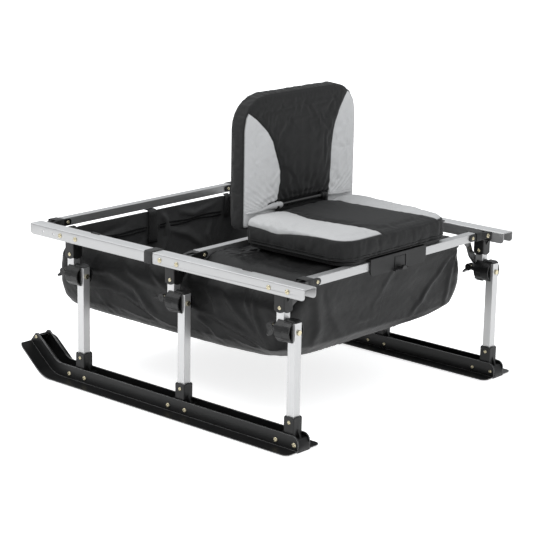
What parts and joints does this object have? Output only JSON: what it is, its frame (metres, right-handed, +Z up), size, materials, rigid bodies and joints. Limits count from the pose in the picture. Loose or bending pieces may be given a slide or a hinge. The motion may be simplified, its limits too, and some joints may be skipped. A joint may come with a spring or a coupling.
{
  "type": "ice fishing sled",
  "caption": "Open aluminium rail frame on two upturned skis with fold-under clamp legs, a hanging cloth gear bag and a clip-on padded seat with folding backrest.",
  "frame": {"origin": "on the ground, under the middle of the overall length, midway between the two rails", "axes": "+Z up, +X toward the rear end that the seated user faces, ski tips at -X, left side at -Y"},
  "size_m": [0.865, 0.837, 0.704],
  "materials": {
    "frame_aluminium": "satin extruded",
    "moulded_black": "fine grain moulded",
    "ski_black": "smooth sheet",
    "brace_steel": "gloss black paint",
    "rod_steel": "black",
    "bag_polyester": "woven polyester",
    "seat_fabric": "woven polyester over foam, grey side panels"
  },
  "bodies": {
    "frame": {"rail_left": "frame_aluminium", "rail_right": "frame_aluminium", "crossbar_front": "frame_aluminium", "crossbar_middle": "frame_aluminium", "crossbar_rear": "frame_aluminium", "crossbar_clip_front_left": "moulded_black", "crossbar_clip_middle_left": "moulded_black", "crossbar_clip_rear_left": "moulded_black", "crossbar_clip_front_right": "moulded_black", "crossbar_clip_middle_right": "moulded_black", "crossbar_clip_rear_right": "moulded_black", "leg_socket_front_left": "moulded_black", "leg_socket_middle_left": "moulded_black", "leg_socket_rear_left": "moulded_black", "leg_socket_front_right": "moulded_black", "leg_socket_middle_right": "moulded_black", "leg_socket_rear_right": "moulded_black", "upper_hub_front_left": "moulded_black", "upper_hub_middle_left": "moulded_black", "upper_hub_rear_left": "moulded_black", "upper_hub_front_right": "moulded_black", "upper_hub_middle_right": "moulded_black", "upper_hub_rear_right": "moulded_black", "brace_middle_left": "brace_steel", "brace_rear_left": "brace_steel", "brace_middle_right": "brace_steel", "brace_rear_right": "brace_steel", "cargo_bag": "bag_polyester"},
    "left_leg_set": {"lower_hub_front_left": "moulded_black", "lower_tube_front_left": "frame_aluminium", "ski_bracket_front_left": "moulded_black", "lower_hub_middle_left": "moulded_black", "lower_tube_middle_left": "frame_aluminium", "ski_bracket_middle_left": "moulded_black", "lower_hub_rear_left": "moulded_black", "lower_tube_rear_left": "frame_aluminium", "ski_bracket_rear_left": "moulded_black", "ski_left": "ski_black"},
    "right_leg_set": {"lower_hub_front_right": "moulded_black", "lower_tube_front_right": "frame_aluminium", "ski_bracket_front_right": "moulded_black", "lower_hub_middle_right": "moulded_black", "lower_tube_middle_right": "frame_aluminium", "ski_bracket_middle_right": "moulded_black", "lower_hub_rear_right": "moulded_black", "lower_tube_rear_right": "frame_aluminium", "ski_bracket_rear_right": "moulded_black", "ski_right": "ski_black"},
    "lever_front_left": {"cam_lever_front_left": "moulded_black"},
    "lever_middle_left": {"cam_lever_middle_left": "moulded_black"},
    "lever_rear_left": {"cam_lever_rear_left": "moulded_black"},
    "lever_front_right": {"cam_lever_front_right": "moulded_black"},
    "lever_middle_right": {"cam_lever_middle_right": "moulded_black"},
    "lever_rear_right": {"cam_lever_rear_right": "moulded_black"},
    "seat": {"seat_base": "moulded_black", "seat_cushion": "seat_fabric"},
    "backrest": {"backrest_board": "moulded_black", "backrest_cushion": "seat_fabric", "seat_hinge_rod": "rod_steel"},
    "latch": {"seat_latch": "moulded_black"}
  },
  "joints": [
    {"name": "left_leg_fold", "type": "hinge", "parent": "frame", "child": "left_leg_set", "pos_m": [0.034, -0.362, 0.259], "axis": [1, 0, 0], "range_deg": [0, 90], "deforming": ["cargo_bag"]},
    {"name": "right_leg_fold", "type": "hinge", "parent": "frame", "child": "right_leg_set", "pos_m": [0.034, 0.362, 0.259], "axis": [-1, 0, 0], "range_deg": [0, 90], "deforming": ["cargo_bag"]},
    {"name": "lever_front_left_swing", "type": "hinge", "parent": "frame", "child": "lever_front_left", "pos_m": [-0.32906, -0.362, 0.259], "axis": [0, 1, 0], "range_deg": [-42, 60]},
    {"name": "lever_middle_left_swing", "type": "hinge", "parent": "frame", "child": "lever_middle_left", "pos_m": [0.00092, -0.362, 0.259], "axis": [0, 1, 0], "range_deg": [-70, 32]},
    {"name": "lever_rear_left_swing", "type": "hinge", "parent": "frame", "child": "lever_rear_left", "pos_m": [0.326, -0.362, 0.259], "axis": [0, 1, 0], "range_deg": [-6, 96]},
    {"name": "lever_front_right_swing", "type": "hinge", "parent": "frame", "child": "lever_front_right", "pos_m": [-0.32906, 0.362, 0.259], "axis": [0, 1, 0], "range_deg": [-42, 60]},
    {"name": "lever_middle_right_swing", "type": "hinge", "parent": "frame", "child": "lever_middle_right", "pos_m": [0.00092, 0.362, 0.259], "axis": [0, 1, 0], "range_deg": [-70, 32]},
    {"name": "lever_rear_right_swing", "type": "hinge", "parent": "frame", "child": "lever_rear_right", "pos_m": [0.326, 0.362, 0.259], "axis": [0, 1, 0], "range_deg": [-37, 65]},
    {"name": "seat_lift", "type": "slide", "parent": "frame", "child": "seat", "axis": [0, 0, 1], "range_m": [0, 0.12], "deforming": ["seat_latch"]},
    {"name": "backrest_fold", "type": "hinge", "parent": "seat", "child": "backrest", "pos_m": [0.08592, 0.005, 0.44], "axis": [0, 1, 0], "range_deg": [0, 88]},
    {"name": "latch_flex", "type": "hinge", "parent": "seat", "child": "latch", "pos_m": [0.3853, 0.002, 0.36], "axis": [0, -1, 0], "range_deg": [0, 10], "stiffness_Nm_per_rad": 0.4}
  ]
}
